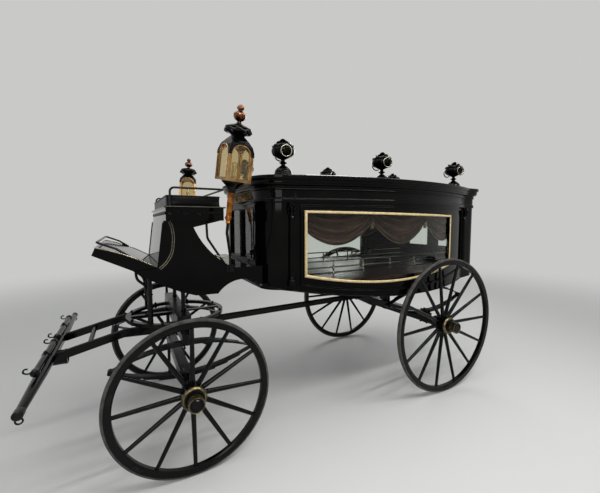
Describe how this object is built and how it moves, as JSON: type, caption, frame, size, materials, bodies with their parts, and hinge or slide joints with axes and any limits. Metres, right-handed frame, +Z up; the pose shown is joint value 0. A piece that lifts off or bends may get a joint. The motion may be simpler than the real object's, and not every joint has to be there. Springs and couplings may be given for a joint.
{
  "type": "horse-drawn glass-sided hearse carriage",
  "caption": "Horse-drawn funeral carriage: glass-sided load space with rear doors, roof urns, driver's boot, lamps, turntable front gear, elliptic springs and dished spoked wheels.",
  "frame": {"origin": "on the floor under the middle of the carriage's length and width", "axes": "+X forward, towards the horses; +Y to the carriage's left; +Z up"},
  "size_m": [3.932, 1.88, 2.2585],
  "materials": {
    "gloss_black": "high gloss black coach paint over wood panels",
    "wood_black": "black painted hardwood, semi gloss",
    "wheel_black": "black painted hickory and ash, gloss",
    "iron_black": "black painted forged iron",
    "spring_steel": "black painted leaf steel",
    "cream_bead": "cream gold painted bead",
    "pane": "clear plate glass",
    "lamp_pane": "bevelled lamp glass",
    "lamp_brass": "polished brass, slightly tarnished",
    "lamp_black": "black japanned sheet metal",
    "copper_wood": "lacquered copper",
    "bright_metal": "nickel plated",
    "deck_wood": "dark varnished boards",
    "drape_cloth": "black velvet",
    "seat_leather": "black buttoned leather",
    "tyre_rubber": "solid grey black rubber band"
  },
  "bodies": {
    "carriage": {"floor": "wood_black", "side_frame_left": "gloss_black", "side_frame_right": "gloss_black", "window_beads": "cream_bead", "windows": "pane", "front_wall": "gloss_black", "corner_panels": "gloss_black", "rear_frame": "gloss_black", "columns": "gloss_black", "roof": "gloss_black", "roof_urns": "gloss_black", "bier_deck": "deck_wood", "bier_rails": "bright_metal", "drapes": "drape_cloth", "boot": "gloss_black", "toe_board": "gloss_black", "toe_rail": "iron_black", "seat_box": "gloss_black", "seat_cushion": "seat_leather", "seat_irons": "iron_black", "lamp_bodies": "lamp_brass", "lamp_glass": "lamp_pane", "lamp_caps": "lamp_black", "lamp_stems": "copper_wood", "lamp_irons": "iron_black", "fifth_wheel_top": "iron_black", "perch": "wood_black", "rear_axle": "iron_black", "rear_springs": "spring_steel", "body_loops": "iron_black"},
    "front_gear": {"front_axle": "iron_black", "front_springs": "spring_steel", "fifth_wheel_bottom": "iron_black", "futchells": "wood_black", "splinter_bar": "wood_black", "swingletrees": "wood_black"},
    "door_left": {"rear_door_left": "gloss_black", "rear_glass_left": "pane"},
    "door_right": {"rear_door_right": "gloss_black", "rear_glass_right": "pane"},
    "front_left_wheel": {"front_wheel_left": "wheel_black", "front_tyre_left": "tyre_rubber"},
    "front_right_wheel": {"front_wheel_right": "wheel_black", "front_tyre_right": "tyre_rubber"},
    "rear_left_wheel": {"rear_wheel_left": "wheel_black", "rear_tyre_left": "tyre_rubber"},
    "rear_right_wheel": {"rear_wheel_right": "wheel_black", "rear_tyre_right": "tyre_rubber"}
  },
  "joints": [
    {"name": "steering", "type": "hinge", "parent": "carriage", "child": "front_gear", "pos_m": [1.111, 0, 0.86], "axis": [0, 0, 1], "range_deg": [-40, 40]},
    {"name": "left_door_hinge", "type": "hinge", "parent": "carriage", "child": "door_left", "pos_m": [-1.909, 0.456, 1.42], "axis": [0, 0, -1], "range_deg": [0, 100]},
    {"name": "right_door_hinge", "type": "hinge", "parent": "carriage", "child": "door_right", "pos_m": [-1.909, -0.456, 1.42], "axis": [0, 0, 1], "range_deg": [0, 100]},
    {"name": "front_left_roll", "type": "hinge", "parent": "front_gear", "child": "front_left_wheel", "pos_m": [1.111, 0.72, 0.5], "axis": [0, 1, 0], "continuous": true},
    {"name": "front_right_roll", "type": "hinge", "parent": "front_gear", "child": "front_right_wheel", "pos_m": [1.111, -0.72, 0.5], "axis": [0, 1, 0], "continuous": true},
    {"name": "rear_left_roll", "type": "hinge", "parent": "carriage", "child": "rear_left_wheel", "pos_m": [-1.149, 0.803, 0.625], "axis": [0, 1, 0], "continuous": true},
    {"name": "rear_right_roll", "type": "hinge", "parent": "carriage", "child": "rear_right_wheel", "pos_m": [-1.149, -0.803, 0.625], "axis": [0, 1, 0], "continuous": true}
  ]
}
